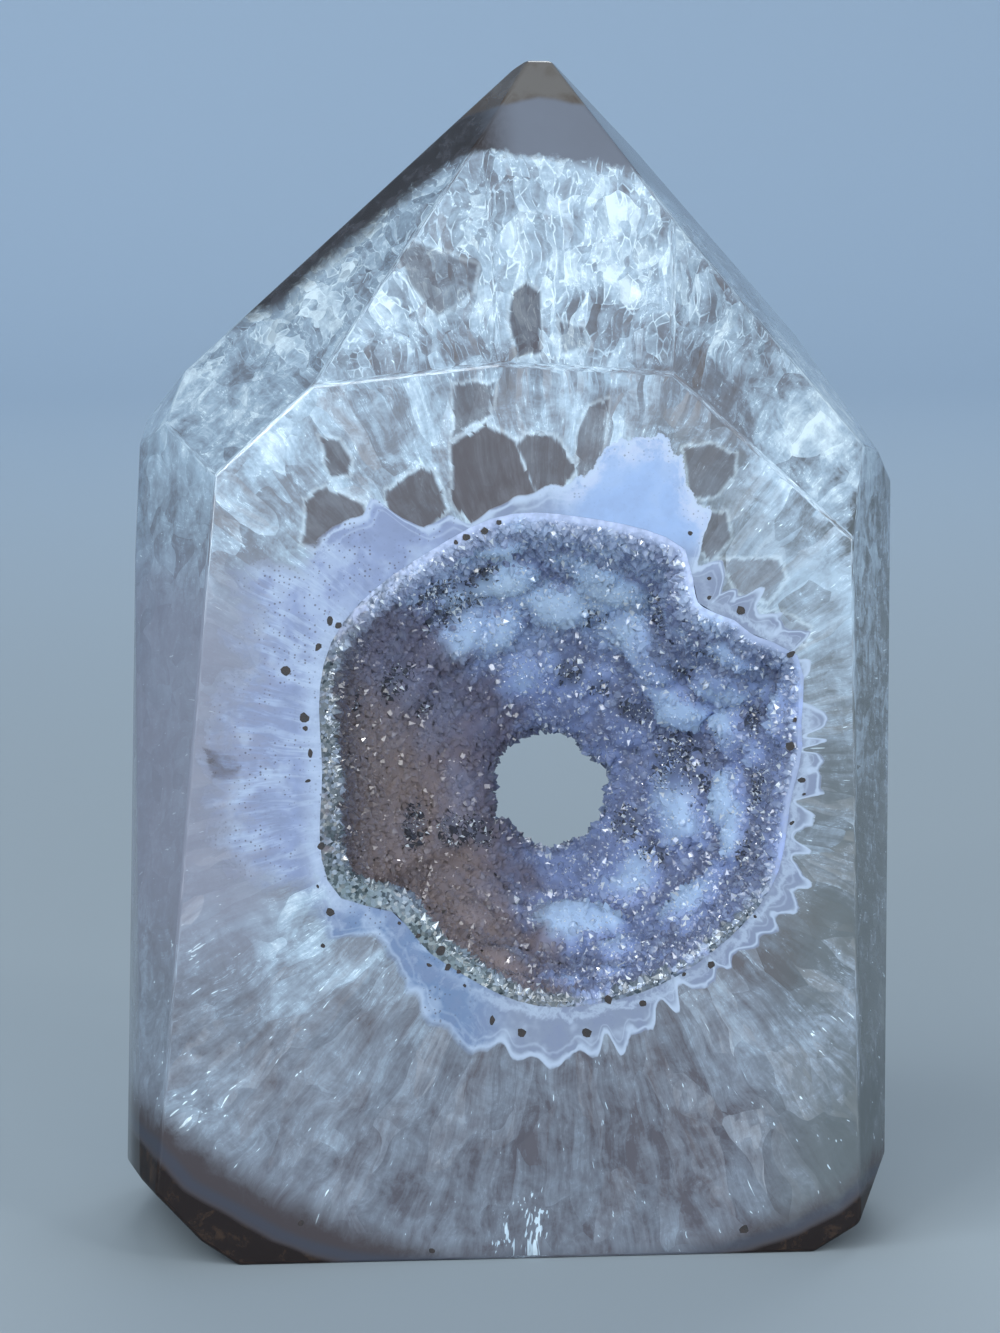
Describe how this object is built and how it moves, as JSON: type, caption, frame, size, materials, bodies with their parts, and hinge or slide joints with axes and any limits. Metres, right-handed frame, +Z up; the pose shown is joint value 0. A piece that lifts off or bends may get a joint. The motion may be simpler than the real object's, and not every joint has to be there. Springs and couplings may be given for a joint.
{
  "type": "agate tower",
  "caption": "Polished, pointed agate and quartz tower with flat facets and a crystal-lined hollow right through its broad face.",
  "frame": {"origin": "on the surface that the tower stands on, under the middle of its outline", "axes": "+Z up towards the point, -Y out of the broad front face with the hollow, +X to the right seen from the front"},
  "size_m": [0.066, 0.037, 0.0998],
  "materials": {
    "polished_agate": "high polish, milky quartz with clear windows, a lavender chalcedony band round the hollow and a brown rind at the feet and tip",
    "quartz_druse": "natural sparkling crust of small quartz points over rounded lumps"
  },
  "bodies": {
    "root": {"stone": "polished_agate", "druse_crust": "quartz_druse"}
  },
  "joints": []
}
